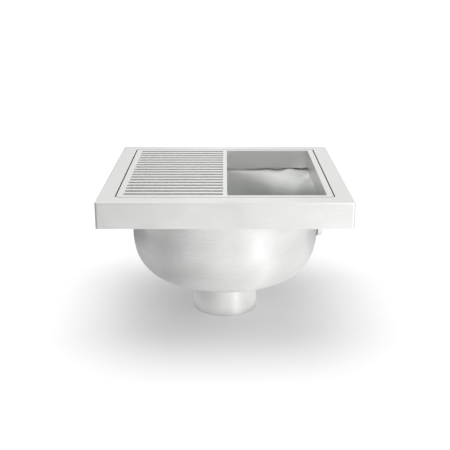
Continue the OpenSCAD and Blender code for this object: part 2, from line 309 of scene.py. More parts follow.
# %% [markdown]
# A bowl is polished outside, where the wheel reaches it. Inside it keeps the duller skin
# that the press left. The mask finds what faces the axis or looks up, and Amount is the
# roughness that is added there.

# %% Node group: the bowl's inside
FACES_IN_RANGE = (-0.1, 0.3)


def make_inside():
    tree, group_in, group_out = new_group("inside of the bowl", [("Amount", 0.0)], ["Inside"])
    level_spot = vector_math(tree, "MULTIPLY", spot_on(tree), (1.0, 1.0, 0.0))[0]
    outward = vector_math(tree, "NORMALIZE", level_spot)[0]
    normal = normal_of(tree)
    lean = vector_math(tree, "DOT_PRODUCT", outward, normal)["Value"]
    faces_in = math_node(tree, "SUBTRACT", parts(tree, normal)["Z"], lean)
    mask = ramp(tree, faces_in, *FACES_IN_RANGE)
    inside = math_node(tree, "MULTIPLY", mask, group_in.outputs["Amount"])
    tree.links.new(inside, group_out.inputs["Inside"])
    return tree


inside_mask = make_inside()
print("group:", inside_mask.name)

# %% [markdown]
# Scratches in one direction also smear the light: a lamp's reflection is drawn out across
# the grain, which gives a brushed bowl its upright bands. The Principled shader does this
# with its Anisotropic value and a tangent that runs along the grain, turned by a quarter.

# %% Tangents along the grain
def ring_tangent(tree):
    """Level, round the axis."""
    return add_node(tree, "ShaderNodeTangent", direction_type="RADIAL", axis="Z").outputs[0]


def sheet_tangent(tree):
    """Level on upright faces, and from side to side on level ones."""
    level_line = vector_math(tree, "CROSS_PRODUCT", normal_of(tree), (0.0, 0.0, 1.0))[0]
    return mix(tree, "VECTOR", is_level(tree), level_line, (1.0, 0.0, 0.0))


print("tangents ready")

# %% [markdown]
# Now the steels. They share one recipe: a light and a dark tint mixed by the scratches,
# roughness that rises in the cloudy patches, and scratches that are real little grooves
# through a Bump node. Each steel has its own tints, gloss and grain. The tint and the
# roughness come first, each as a short function.

# %% Tint and roughness of a steel
STREAK_PART, CLOUD_PART = 0.5, 0.5
DULLER_IN_CLOUDS, DULLER_IN_STREAKS = 0.10, 0.08
# Colour of the painted shade in the gap round the grate.
GAP_SHADE_TINT = (0.10, 0.098, 0.09)


def steel_tint(tree, light, dark, streak, cloud, shade_in_gap):
    """The two tints mixed by scratches and clouds, and painted shade in the gap over both."""
    streak_part = math_node(tree, "MULTIPLY", streak, STREAK_PART)
    cloud_part = math_node(tree, "MULTIPLY", cloud, CLOUD_PART)
    tone = math_node(tree, "ADD", streak_part, cloud_part, clamp=True)
    unshaded_tint = mix(tree, "RGBA", tone, (*light, 1.0), (*dark, 1.0))
    # Painted shade: the gap round the grate is darkened in the colour, where shade falls.
    painted_shade = place_group(tree, gap_shade, amount=shade_in_gap).outputs["Grime"]
    return mix(tree, "RGBA", painted_shade, unshaded_tint, (*GAP_SHADE_TINT, 1.0))


def steel_roughness(tree, rough, streak, cloud, duller_inside):
    """Roughness that is lowest on clean metal between the scratches."""
    duller = math_node(tree, "MULTIPLY", cloud, DULLER_IN_CLOUDS)
    if duller_inside:
        inside = place_group(tree, inside_mask, amount=duller_inside).outputs["Inside"]
        duller = math_node(tree, "ADD", duller, inside)
    broken = math_node(tree, "MULTIPLY", streak, DULLER_IN_STREAKS)
    return math_node(tree, "ADD", rough, math_node(tree, "ADD", duller, broken), clamp=True)


print("a steel gets rougher by", DULLER_IN_CLOUDS, "in clouds and", DULLER_IN_STREAKS, "in scratches")

# %% [markdown]
# The recipe makes a material and feeds its Principled shader. What varies over the surface
# is linked to the shader, and what is the same all over a piece is set on its sockets.

# %% Recipe for brushed steel
PIT_DEPTH, BUMP_STRENGTH, GROOVE = 0.3, 0.35, 0.00002
QUARTER_TURN = 0.25


def steel(name, grain, tangent, light, dark, rough, smear, groove=GROOVE, shade_in_gap=1.0, duller_inside=0.0):
    """A brushed steel: rough is its least roughness, smear its anisotropy, groove its bump."""
    material = bpy.data.materials.new(name)
    material.use_nodes = True
    tree = material.node_tree
    shader = tree.nodes["Principled BSDF"]
    lines = place_group(tree, grain).outputs
    marks = place_group(tree, handling).outputs
    tint = steel_tint(tree, light, dark, lines["Streak"], marks["Cloud"], shade_in_gap)
    roughness = steel_roughness(tree, rough, lines["Streak"], marks["Cloud"], duller_inside)
    pits = math_node(tree, "MULTIPLY", marks["Marks"], PIT_DEPTH)
    height = math_node(tree, "SUBTRACT", lines["Height"], pits)
    relief = {"Height": height, "Strength": BUMP_STRENGTH, "Distance": groove}
    bump = add_node(tree, "ShaderNodeBump", relief)
    tree.links.new(tint, shader.inputs["Base Color"])
    tree.links.new(roughness, shader.inputs["Roughness"])
    tree.links.new(bump.outputs[0], shader.inputs["Normal"])
    tree.links.new(tangent(tree), shader.inputs["Tangent"])
    shader.inputs["Metallic"].default_value = 1.0
    shader.inputs["Anisotropic"].default_value = smear
    shader.inputs["Anisotropic Rotation"].default_value = QUARTER_TURN
    print("steel:", name)
    return material


print("recipe ready, with grooves", GROOVE / MM, "mm deep where a steel doesn't say otherwise")

# %% [markdown]
# The sheet and the plate are the brightest, because the belt polished them. The bowl and the
# pipe are a little darker and glossier. The lugs and ribs are mill bar that nobody polished.
# The strainer is the glossiest, as small pressings are tumbled until they shine, and the
# weld beads keep some of the heat's tint.

# %% The steels of this sink
BELT_LIGHT, BELT_DARK = (0.93, 0.937, 0.92), (0.82, 0.827, 0.81)
FINE_GROOVE, WELD_GROOVE = 0.000012, 0.0001

sheet_steel = steel(
    "brushed sheet", flat_grain, sheet_tangent,
    light=BELT_LIGHT, dark=BELT_DARK, rough=0.27, smear=0.55,
)
# The plate's edge gets half the painted shade in the gap, as it leaves the gap when the plate is lifted.
plate_steel = steel(
    "brushed plate", flat_grain, sheet_tangent,
    light=BELT_LIGHT, dark=BELT_DARK, rough=0.29, smear=0.5, shade_in_gap=0.5,
)
bowl_steel = steel(
    "spun bowl", ring_grain, ring_tangent,
    light=(0.90, 0.91, 0.895), dark=(0.75, 0.76, 0.745), rough=0.24, smear=0.6,
    groove=FINE_GROOVE, duller_inside=0.2,
)
pipe_steel = steel(
    "turned pipe", ring_grain, ring_tangent,
    light=(0.91, 0.92, 0.905), dark=(0.77, 0.78, 0.765), rough=0.24, smear=0.7, groove=FINE_GROOVE,
)
mill_steel = steel(
    "mill bar", flat_grain, sheet_tangent,
    light=(0.66, 0.665, 0.65), dark=(0.50, 0.505, 0.50), rough=0.38, smear=0.2,
)
pressed_steel = steel(
    "pressed strainer", ring_grain, ring_tangent,
    light=(0.80, 0.81, 0.80), dark=(0.62, 0.63, 0.62), rough=0.17, smear=0.4,
)
weld_steel = steel(
    "weld bead", ring_grain, ring_tangent,
    light=(0.78, 0.78, 0.76), dark=(0.50, 0.49, 0.46), rough=0.27, smear=0.0, groove=WELD_GROOVE,
)

# %% [markdown]
# The engineering model draws its round faces with flat facets. Shading decides whether we
# see them: where two facets meet at a small angle, the light should run on smoothly, and
# where they meet at a large one there is a true edge. A small geometry node group does
# this without touching the model's own mesh. It joins the facets, forgets the stored
# normals and marks the true edges.

# %% Node group: smooth shading up to an angle
EDGE_ANGLE = math.radians(30.0)
JOIN_WITHIN = 0.01 * MM


def set_smooth(tree, geometry, smooth, domain, selection=True):
    """A node that smooths or sharpens the chosen faces or edges."""
    values = {"Geometry": geometry, "Selection": selection, "Shade Smooth": smooth}
    return add_node(tree, "GeometryNodeSetShadeSmooth", values, domain=domain).outputs[0]


def make_smoothing():
    tree = bpy.data.node_groups.new("smooth up to an angle", "GeometryNodeTree")
    for way in ("INPUT", "OUTPUT"):
        tree.interface.new_socket("Geometry", in_out=way, socket_type="NodeSocketGeometry")
    whole = {"Geometry": tree.nodes.new("NodeGroupInput").outputs[0], "Distance": JOIN_WITHIN}
    joined = add_node(tree, "GeometryNodeMergeByDistance", whole).outputs[0]
    stored = {"Geometry": joined, "Name": "custom_normal"}
    plain = add_node(tree, "GeometryNodeRemoveAttribute", stored).outputs[0]
    angle = tree.nodes.new("GeometryNodeInputMeshEdgeAngle").outputs["Unsigned Angle"]
    compare = {"data_type": "FLOAT", "operation": "GREATER_THAN"}
    true_edge = add_node(tree, "FunctionNodeCompare", {0: angle, 1: EDGE_ANGLE}, **compare).outputs[0]
    smooth = set_smooth(tree, plain, True, "FACE")
    edged = set_smooth(tree, smooth, False, "EDGE", true_edge)
    tree.links.new(edged, tree.nodes.new("NodeGroupOutput").inputs[0])
    return tree


smoothing = make_smoothing()


def shade_smooth(obj):
    modifier = obj.modifiers.new("smooth up to an angle", "NODES")
    modifier.node_group = smoothing


print("group:", smoothing.name)

# %% [markdown]
# Each node of the model gets its steel. The plate, its ribs, the pipe and the strainer's
# flange also get a tiny bevel, because no real metal has a perfectly sharp edge, and the
# thin line of light along an edge is what makes metal look like metal. A bevel's width is
# in millimetres.

# %% Finish the nodes of the model
SIDES = ("front", "back", "left", "right")
FINISH = {
    "rim_frame": sheet_steel,
    **{f"seat_angle_{side}": sheet_steel for side in SIDES},
    "bowl": bowl_steel,
    "outlet_spigot": pipe_steel,
    "strainer_seat": pipe_steel,
    "primer_coupling": pipe_steel,
    **{f"anchor_lug_{side}": mill_steel for side in SIDES},
    "half_grate": plate_steel,
    "grate_mid_rib": mill_steel,
    "grate_slot_rib": mill_steel,
    **{f"strainer_{piece}": pressed_steel for piece in ("dome", "flange", "knob", "nut")},
}
BEVELS = {
    "half_grate": 0.3,
    "grate_mid_rib": 0.3,
    "grate_slot_rib": 0.3,
    "outlet_spigot": 0.25,
    "strainer_flange": 0.2,
}
BEVEL_FROM = math.radians(50.0)

for name, material in FINISH.items():
    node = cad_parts[name]
    node.data.materials.clear()
    node.data.materials.append(material)
    shade_smooth(node)
    if name in BEVELS:
        bevel = node.modifiers.new("broken edges", "BEVEL")
        bevel.width = BEVELS[name] * MM
        bevel.segments = 2
        bevel.limit_method = "ANGLE"
        bevel.angle_limit = BEVEL_FROM
        bevel.harden_normals = True
print("finished nodes:", len(FINISH))

# %% [markdown]
# Our own pieces are meshes that we build point by point. One helper turns points in
# millimetres into an object. The other turns all faces of a mesh outward, which saves us
# from minding the order of their corners on the beads and the thread.

# %% Helpers for meshes
def mesh_object(name, points, faces):
    """A new object in the scene, from points in millimetres."""
    mesh = bpy.data.meshes.new(name)
    mesh.from_pydata([tuple(c * MM for c in point) for point in points], [], faces)
    mesh.update()
    obj = bpy.data.objects.new(name, mesh)
    bpy.context.scene.collection.objects.link(obj)
    return obj


def face_outward(mesh):
    build = bmesh.new()
    build.from_mesh(mesh)
    bmesh.ops.recalc_face_normals(build, faces=build.faces)
    build.to_mesh(mesh)
    build.free()


print("helpers for meshes ready")

# %% [markdown]
# The bowl is pressed from one sheet. The press draws it from a square tray down into a
# round dish, and near the corners the sheet has too much metal, so it gathers in shallow
# wrinkles and its lip comes out a little wavy. The model's bowl has the shape but not the
# wrinkles, so we draw the same section again, finer, and add them. The dish is three arcs
# that run into each other: a wide crown at the bottom, a tight knuckle and a long flank.
# Where two arcs meet, both centres lie on one line through the meeting point, and the
# centres are worked out from that.

# %% Sizes of the bowl's section
THROAT_HALF, THROAT_LOW = low("seat_angle_right", X), low("seat_angle_right", Z)
UPSTAND_HALF, LEDGE_UNDER = high("bowl", X), high("bowl", Z)
SHEET, PIPE_WALL = 1.6, 2.1
STEP_OUT, LAND_DROP, LAND_W, FLARE_H = 3.1, 3.4, 1.9, 43.0
LIP_CORNER = 45.0
BOWL_DEPTH = 182.8
FLANK_R, FLANK_TURN = 109.0, math.radians(14.3)
KNUCKLE_R, KNUCKLE_END = 62.0, math.radians(67.4)

WALL_R = THROAT_HALF + STEP_OUT
LAND = THROAT_LOW - LAND_DROP
WALL_TOP = LAND - FLARE_H
LIP_HALF = UPSTAND_HALF - SHEET - LAND_W
BORE_R = PIPE_R - PIPE_WALL

KNUCKLE_OUT = WALL_R - FLANK_R + (FLANK_R - KNUCKLE_R) * math.cos(FLANK_TURN)
KNUCKLE_DROP = (FLANK_R - KNUCKLE_R) * math.sin(FLANK_TURN)
CROWN_R = KNUCKLE_R + KNUCKLE_OUT / math.cos(KNUCKLE_END)
CROWN_RISE = (CROWN_R - KNUCKLE_R) * math.sin(KNUCKLE_END) - KNUCKLE_DROP
WALL_LOW = RIM_TOP - BOWL_DEPTH + CROWN_R - CROWN_RISE
CROWN_Z = WALL_LOW + CROWN_RISE
KNUCKLE_Z = WALL_LOW - KNUCKLE_DROP
print(f"crown {CROWN_R:.2f} mm in radius, centre {CROWN_Z:.2f} mm up, wall from {WALL_LOW:.2f} mm up")

# %% [markdown]
# The section is a row of points, each a distance from the axis and a height. Its inside is
# the same section drawn one sheet's thickness nearer to the arcs' centres.

# %% Points of the section
def arc(centre, radius, start, end, steps):
    """Points on an arc of the section; angles from straight down, without the last point."""
    turns = [start + (end - start) * i / steps for i in range(steps)]
    return [(centre[0] + radius * math.sin(t), centre[1] - radius * math.cos(t)) for t in turns]


def dish(inset):
    """The section from the outlet's hole up to the end of the round wall."""
    level = math.pi / 2
    crown = CROWN_R - inset
    points = arc((0.0, CROWN_Z), crown, math.asin(BORE_R / crown), level - KNUCKLE_END, 10)
    points += arc((KNUCKLE_OUT, KNUCKLE_Z), KNUCKLE_R - inset, level - KNUCKLE_END, level - FLANK_TURN, 16)
    points += arc((WALL_R - FLANK_R, WALL_LOW), FLANK_R - inset, level - FLANK_TURN, level, 6)
    return points + [(WALL_R - inset, WALL_LOW), (WALL_R - inset, (WALL_LOW + WALL_TOP) / 2)]


print("points in the section:", len(dish(0.0)))

# %% [markdown]
# Seen from above, the bowl's lip is a square with rounded corners. Each of its points starts
# one line of the mesh, and the lines run down into the round dish.

# %% The lip's outline
def lip_outline(corner_steps=18, side_steps=60):
    """The lip as a rounded square, with one point for each line of the mesh."""
    side = LIP_HALF - LIP_CORNER
    turns = [math.pi / 2 * i / corner_steps for i in range(corner_steps + 1)]
    quarter = [(side + LIP_CORNER * math.cos(t), side + LIP_CORNER * math.sin(t)) for t in turns]
    quarter += [(side * (1 - 2 * i / side_steps), LIP_HALF) for i in range(1, side_steps)]
    outline = []
    for turn in range(4):
        c, s = round(math.cos(turn * math.pi / 2)), round(math.sin(turn * math.pi / 2))
        outline += [(x * c - y * s, x * s + y * c) for x, y in quarter]
    return outline


LIP = lip_outline()
print("lines round the bowl:", len(LIP))

# %% [markdown]
# The wrinkles are lifts of the sheet near the lip, and the creases are shallow folds that
# run down from them. We place them along one side by their distance from its middle, each
# with its own height and width, and use the same lists on all four sides, turned round so
# that two sides run the other way.

# %% The wrinkles near the lip
LIFTS = [
    (113.0, 2.6, 9.0), (73.0, 1.1, 8.0), (92.0, -0.4, 7.0),
    (-98.0, 2.0, 9.0), (-66.0, 1.0, 8.0), (0.0, -1.9, 52.0),
]
CREASES = [
    (104.0, 0.16, 2.2), (110.5, -0.18, 1.8), (117.0, 0.17, 2.4), (124.0, -0.14, 2.4),
    (-106.0, 0.14, 2.5), (-113.0, -0.14, 2.2),
]
LIFT_FROM = 0.8
CREASE_AT, CREASE_SPREAD, CREASE_SLANT = 0.8, 0.16, 14.0


def bell(value, spot, width):
    return math.exp(-(((value - spot) / width) ** 2))


def along_side(x, y):
    """Distance from the middle of the nearest side, positive towards one of its ends."""
    if abs(y) >= abs(x):
        return x if y > 0 else -x
    return y if x > 0 else -y


def wrinkle(x, y, rise):
    """How far the sheet lifts and comes in at a place on the flare, which rises from 0 to 1."""
    spot = along_side(x, y)
    near_lip = max(0.0, (rise - LIFT_FROM) / (1.0 - LIFT_FROM)) ** 2
    under_lip = bell(rise, CREASE_AT, CREASE_SPREAD)
    slant = CREASE_SLANT * (1.0 - rise)
    lift = sum(size * bell(spot, at, width) for at, size, width in LIFTS)
    crease = sum(size * bell(spot - slant, at, width) for at, size, width in CREASES)
    return lift * near_lip, crease * under_lip


print("lifts and creases on a side:", len(LIFTS), len(CREASES))

# %% [markdown]
# The bowl's skin is a loop of rings: up its outside, over the square upstand that hangs it
# from the ledge, and down its inside. A quarter of a wave takes the flare from the round
# wall, which it leaves upright, to the land, where it arrives level.

# %% Rings of the bowl
def round_rings(inset):
    """The rings of the dish and the round wall."""
    rings = []
    for r, z in dish(inset):
        rings.append([(x / math.hypot(x, y) * r, y / math.hypot(x, y) * r, z) for x, y in LIP])
    return rings


def flare_rings(inset, steps=22):
    """The rings from the round wall out to the lip, with the wrinkles."""
    rings = []
    top = LAND - SHEET + inset
    for k in range(steps + 1):
        out, up = 1 - math.cos(k / steps * math.pi / 2), math.sin(k / steps * math.pi / 2)
        ring = []
        for x, y in LIP:
            far = math.hypot(x, y)
            lift, crease = wrinkle(x, y, up)
            r = (WALL_R - inset) + (far - WALL_R + inset) * out - crease
            ring.append((x / far * r, y / far * r, WALL_TOP + (top - WALL_TOP) * up + lift))
        rings.append(ring)
    return rings


def square_ring(half, z, lifted):
    """A ring of the upstand. Where it meets the land, it is lifted like the lip."""
    ring = []
    for x, y in LIP:
        side = half / max(abs(x), abs(y))
        lift = wrinkle(x, y, 1.0)[0] if lifted else 0.0
        ring.append((x * side, y * side, z + lift))
    return ring


def bowl_rings():
    outer, inner = UPSTAND_HALF, UPSTAND_HALF - SHEET
    rings = round_rings(0.0) + flare_rings(0.0)
    rings += [square_ring(outer, LAND - SHEET, True), square_ring(outer, LEDGE_UNDER, False)]
    rings += [square_ring(inner, LEDGE_UNDER, False), square_ring(inner, LAND, True)]
    return rings + flare_rings(SHEET)[::-1] + round_rings(SHEET)[::-1]


print("rings of the bowl:", len(bowl_rings()))

# %% [markdown]
# A band of four-sided faces joins each ring to the next, and the last ring to the first, so
# the skin is closed like real sheet, with a thickness all round.

# %% Skin of the bowl
def ring_mesh(name, rings):
    """A closed skin over a loop of rings."""
    count, total = len(rings[0]), len(rings)
    faces = []
    for k in range(total):
        for i in range(count):
            j, m = (i + 1) % count, (k + 1) % total
            faces.append((k * count + i, k * count + j, m * count + j, m * count + i))
    return mesh_object(name, [point for ring in rings for point in ring], faces)


bowl = ring_mesh("pressed_bowl", bowl_rings())
print("bowl faces before the hole:", len(bowl.data.polygons))

# %% [markdown]
# On the real bowl the hole for the coupling is drilled after pressing. Here a round bar cuts
# it with a Boolean modifier. We keep the modifier's result as the bowl's mesh and remove the
# bar, so that it doesn't stay in the scene as a piece.

# %% Hole for the coupling
PORT_DEPTH, PORT_BORE, PORT_TURN = 110.5, 9.3, math.radians(20.0)
PORT_Z = RIM_TOP - PORT_DEPTH
CUTTER_OUT, CUTTER_LENGTH, CUTTER_SIDES = 145.0, 40.0, 64


def make_cutter():
    """A round bar through the bowl's wall."""
    cutter = mesh_object("port cutter", [], [])
    build = bmesh.new()
    size = {"radius1": PORT_BORE * MM, "radius2": PORT_BORE * MM, "depth": CUTTER_LENGTH * MM}
    bmesh.ops.create_cone(build, cap_ends=True, segments=CUTTER_SIDES, **size)
    build.to_mesh(cutter.data)
    build.free()
    cutter.rotation_euler = (0.0, math.pi / 2, PORT_TURN)
    place = (CUTTER_OUT * math.cos(PORT_TURN), CUTTER_OUT * math.sin(PORT_TURN), PORT_Z)
    cutter.location = [c * MM for c in place]
    return cutter


def cut_hole(obj, cutter):
    """Cut the bar out of the object, and remove the bar."""
    hole = obj.modifiers.new("port", "BOOLEAN")
    hole.object = cutter
    hole.solver = "EXACT"
    bpy.context.view_layer.update()
    shaped = obj.evaluated_get(bpy.context.evaluated_depsgraph_get())
    finished = bpy.data.meshes.new_from_object(shaped)
    obj.modifiers.clear()
    obj.data = finished
    bpy.data.objects.remove(cutter)


cut_hole(bowl, make_cutter())
print("bowl faces:", len(bowl.data.polygons))

# %% [markdown]
# The pressed bowl stands in for the model's bowl: it moves with the sink, and it is shown in
# the place of the node bowl.

# %% Put the pressed bowl in its place
bowl.data.materials.append(bowl_steel)
shade_smooth(bowl)
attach(bowl, "sink")
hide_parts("bowl")
print("pressed bowl in place of the node bowl")

# %% [markdown]
# The pieces are joined by welds. A weld bead is a row of small overlapping ripples, so we
# sweep a round section along the joint and let its radius swell with each ripple. The end
# of an open bead runs thin, because the welder pulls away there.

# %% Weld beads
BEAD_SIDES = 10
RIPPLE, RIPPLE_LOW, RIPPLE_RISE = 1.6, 0.86, 0.16
THIN_END, THIN_OVER = 0.25, 0.25


def bead_rings(points, radius, closed):
    """Round sections along a path, each as a ring of points."""
    count = len(points)
    rings, gone = [], 0.0
    for i, point in enumerate(points):
        before = points[i - 1] if closed or i else point
        after = points[(i + 1) % count] if closed or i < count - 1 else point
        ahead = (after - before).normalized()
        helper = Vector((0, 0, 1)) if abs(ahead.z) < 0.9 else Vector((1, 0, 0))
        right = ahead.cross(helper).normalized()
        up = right.cross(ahead)
        gone += (point - points[i - 1]).length if i else 0.0
        swell = radius * (RIPPLE_LOW + RIPPLE_RISE * abs(math.sin(math.pi * gone / RIPPLE)))
        if not closed:
            from_end = min(i, count - 1 - i) / count
            swell *= THIN_END + (1.0 - THIN_END) * min(1.0, from_end / THIN_OVER)
        turns = [2 * math.pi * j / BEAD_SIDES for j in range(BEAD_SIDES)]
        rings.append([point + swell * (math.cos(t) * right + math.sin(t) * up) for t in turns])
    return rings


def bead(name, path, radius, body, closed=False):
    """A rippled weld bead along a path. Lengths in millimetres."""
    rings = bead_rings([Vector(p) for p in path], radius, closed)
    count, sides = len(rings), BEAD_SIDES
    faces = []
    for i in range(count if closed else count - 1):
        for j in range(sides):
            k, m = (i + 1) % count, (j + 1) % sides
            faces.append((i * sides + j, k * sides + j, k * sides + m, i * sides + m))
    if not closed:
        faces += [tuple(range(sides)), tuple(range(count * sides - 1, (count - 1) * sides - 1, -1))]
    obj = mesh_object(name, [point for ring in rings for point in ring], faces)
    face_outward(obj.data)
    obj.data.materials.append(weld_steel)
    shade_smooth(obj)
    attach(obj, body)


print("beads have", BEAD_SIDES, "sides and a ripple each", RIPPLE, "mm")

# %% [markdown]
# Joints that hold water are welded all round: the pipe under the bowl, and the coupling on
# its side. The pipe's weld is a circle, and the coupling's follows the bowl's curve.

# %% Welds that run all round
PORT_OUTER = PORT_Z - low("primer_coupling", Z)
PIPE_BEAD, PORT_BEAD = 0.9, 1.1


def circle_path(radius, z, steps=720):
    """A level circle round the axis."""
    turns = [2 * math.pi * i / steps for i in range(steps)]
    return [(radius * math.cos(t), radius * math.sin(t), z) for t in turns]


def wall_radius(z):
    """Outside radius of the bowl at a height on its wall or flank."""
    if z >= WALL_LOW:
        return WALL_R
    return WALL_R - FLANK_R + math.sqrt(FLANK_R ** 2 - (WALL_LOW - z) ** 2)


def from_port(out, side, z):
    """A point given by its distance out along the coupling and to its side."""
    c, s = math.cos(PORT_TURN), math.sin(PORT_TURN)
    return out * c - side * s, out * s + side * c, z


def port_path(steps=240):
    """Where the coupling's outside meets the bowl."""
    path = []
    for i in range(steps):
        t = 2 * math.pi * i / steps
        side, z = PORT_OUTER * math.cos(t), PORT_Z + PORT_OUTER * math.sin(t)
        path.append(from_port(math.sqrt(wall_radius(z) ** 2 - side ** 2), side, z))
    return path


pipe_top = CROWN_Z - math.sqrt(CROWN_R ** 2 - PIPE_R ** 2)
bead("pipe_weld", circle_path(PIPE_R, pipe_top), PIPE_BEAD, "sink", closed=True)
bead("port_weld", port_path(), PORT_BEAD, "sink", closed=True)
print(f"pipe welded {pipe_top:.1f} mm up")

# %% [markdown]
# Long joints that only have to hold are stitched with short beads: the two ribs under the
# plate, the lugs on the skirt's inside, and the bowl's upstand under the ledge.

# %% Stitches
TURNS = {"right": (1, 0), "back": (0, 1), "left": (-1, 0), "front": (0, -1)}
PLATE_UNDER = low("half_grate", Z)
RIB_BEAD, SINK_BEAD = 1.1, 1.2
RIB_STITCHES, RIB_STITCH_HALF = (-120.0, -60.0, 0.0, 60.0, 120.0), 8.0
UPSTAND_STITCHES, UPSTAND_STITCH_HALF = (-100.0, -35.0, 35.0, 100.0), 14.0
SKIRT_INSIDE, LUG_HALF = high("anchor_lug_right", X), high("anchor_lug_right", Y)
ABOVE_LUG_LOW, BELOW_LUG_TOP = 6.1, 1.9
LUG_STITCH = (low("anchor_lug_right", Z) + ABOVE_LUG_LOW, high("anchor_lug_right", Z) - BELOW_LUG_TOP)


def straight(start, end, step=0.4):
    """Points along a straight line."""
    a, b = Vector(start), Vector(end)
    steps = max(4, round((b - a).length / step))
    return [tuple(a.lerp(b, i / steps)) for i in range(steps + 1)]


def turned(out, side, turn):
    """A level place given by its distance out to one of the four sides, and along it."""
    c, s = turn
    return out * c - side * s, out * s + side * c


rib_faces = [end(rib, X) for rib in ("grate_mid_rib", "grate_slot_rib") for end in (low, high)]
rib_spots = [(x, y) for y in RIB_STITCHES for x in rib_faces]
for number, (x, y) in enumerate(rib_spots):
    ends = [(x, y + half, PLATE_UNDER) for half in (-RIB_STITCH_HALF, RIB_STITCH_HALF)]
    bead(f"rib_stitch_{number}", straight(*ends), RIB_BEAD, "grate")

for side, turn in TURNS.items():
    for letter, edge in (("a", -LUG_HALF), ("b", LUG_HALF)):
        ends = [(*turned(SKIRT_INSIDE, edge, turn), z) for z in LUG_STITCH]
        bead(f"lug_stitch_{side}_{letter}", straight(*ends), SINK_BEAD, "sink")
    for middle in UPSTAND_STITCHES:
        along = (middle - UPSTAND_STITCH_HALF, middle + UPSTAND_STITCH_HALF)
        ends = [(*turned(UPSTAND_HALF, spot, turn), LEDGE_UNDER) for spot in along]
        bead(f"upstand_stitch_{side}_{middle:.0f}", straight(*ends), SINK_BEAD, "sink")
print("rib stitches:", len(rib_spots), "other stitches:", len(TURNS) * (2 + len(UPSTAND_STITCHES)))

# %% [markdown]
# The coupling takes a threaded line, so its bore gets a thread: one ridge with a pointed
# crest that winds inward from the open end and fades out at both of its ends.

# %% Thread in the coupling
THREAD_PITCH, THREAD_TURNS, THREAD_STEPS, THREAD_DEPTH = 1.81, 8, 72, 0.9
THREAD_FLANK, THREAD_START, THREAD_FOOT = 0.45, 1.0, 0.02
PORT_STAND = 21.4
PORT_END = WALL_R + PORT_STAND


def thread_point(i, shift, height):
    """A point of the ridge: i steps along it, beside its crest by shift, up by height."""
    t = 2 * math.pi * i / THREAD_STEPS
    r = PORT_BORE + THREAD_FOOT - height
    out = PORT_END - THREAD_START - THREAD_PITCH * (i / THREAD_STEPS + shift)
    return from_port(out, r * math.cos(t), PORT_Z + r * math.sin(t))


def make_thread():
    points, faces = [], []
    last = THREAD_TURNS * THREAD_STEPS
    for i in range(last + 1):
        fade = min(1.0, i / THREAD_STEPS, (last - i) / THREAD_STEPS)
        for shift, height in ((-THREAD_FLANK, 0.0), (0.0, THREAD_DEPTH * fade), (THREAD_FLANK, 0.0)):
            points.append(thread_point(i, shift, height))
    for i in range(last):
        for j in range(3):
            k = (j + 1) % 3
            faces.append((3 * i + j, 3 * i + 3 + j, 3 * i + 3 + k, 3 * i + k))
    thread = mesh_object("port_thread", points, faces)
    face_outward(thread.data)
    thread.data.materials.append(mill_steel)
    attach(thread, "sink")
    print("thread faces:", len(faces))


make_thread()

# %% [markdown]
# Steel is a mirror, and a mirror looks like what stands round it. The floor glows only for the rays that the
# metal sends out, and this glow is painted light. It is dimmer on the left and behind the sink, which draws
# the soft dark flanks and edges that we know from photographs of steel. It is darker close to the pipe, as a
# painted shadow where the sink's own shadow is deepest, and it has a painted wedge of shine towards the tall
# lamp. Distances are in metres here.

# %% What the metal sees of the floor
FLOOR_BESIDE, BESIDE_FROM_TO = (0.30, 0.75), (-0.15, 0.02)
FLOOR_FRONT, FRONT_FROM_TO = (0.42, 0.83), (-0.75, 0.5)
BESIDE_SLANT, FRONT_ENDS = 0.4, (-0.5, -0.15)
CORNER, CORNER_FROM_TO = (0.1, 1.0), (-0.67, -0.5)
BEHIND, BEHIND_FROM_TO = (1.0, 0.15), (0.05, 0.5)
NEAR, NEAR_WIDTH = (0.5, 1.0), 0.02
GLARE, GLARE_SLOPE, GLARE_TURN = 0.15, 0.40, math.radians(34.0)
GLARE_FROM = 0.001


def floor_glare(tree, x, y):
    """A painted glow on the floor towards the tall lamp, seen by the metal: a wedge that starts under the
    sink.
    """
    c, s = math.cos(GLARE_TURN), math.sin(GLARE_TURN)
    across = math_node(tree, "ADD", math_node(tree, "MULTIPLY", x, c), math_node(tree, "MULTIPLY", y, s))
    along = math_node(tree, "SUBTRACT", math_node(tree, "MULTIPLY", x, s), math_node(tree, "MULTIPLY", y, c))
    ahead = math_node(tree, "MAXIMUM", along, GLARE_FROM)
    slope = math_node(tree, "DIVIDE", math_node(tree, "ABSOLUTE", across), ahead)
    return ramp(tree, slope, 0.0, GLARE_SLOPE, GLARE, 0.0)


def mirrored_floor(tree, x, y):
    """How bright the metal sees the floor's painted glow: dim on the left and behind, brighter to the right.
    """
    back = math_node(tree, "MAXIMUM", y, 0.0)
    slanted = math_node(tree, "SUBTRACT", x, math_node(tree, "MULTIPLY", back, BESIDE_SLANT))
    beside = ramp(tree, slanted, *BESIDE_FROM_TO, *FLOOR_BESIDE)
    in_front = ramp(tree, x, *FRONT_FROM_TO, *FLOOR_FRONT)
    across = mix(tree, "FLOAT", ramp(tree, y, *FRONT_ENDS), in_front, beside)
    corner = ramp(tree, math_node(tree, "SUBTRACT", x, back), *CORNER_FROM_TO, *CORNER)
    behind = ramp(tree, y, *BEHIND_FROM_TO, *BEHIND)
    even = math_node(tree, "MULTIPLY", across, math_node(tree, "MULTIPLY", corner, behind))
    away = vector_math(tree, "LENGTH", join(tree, x, y))["Value"]
    # Painted shadow: the floor that the metal sees darkens close to the pipe.
    near = ramp(tree, away, PIPE_R * MM, PIPE_R * MM + NEAR_WIDTH, *NEAR)
    return math_node(tree, "MULTIPLY", math_node(tree, "ADD", even, floor_glare(tree, x, y)), near)


print("floor in the mirror: beside", FLOOR_BESIDE, "in front", FLOOR_FRONT)

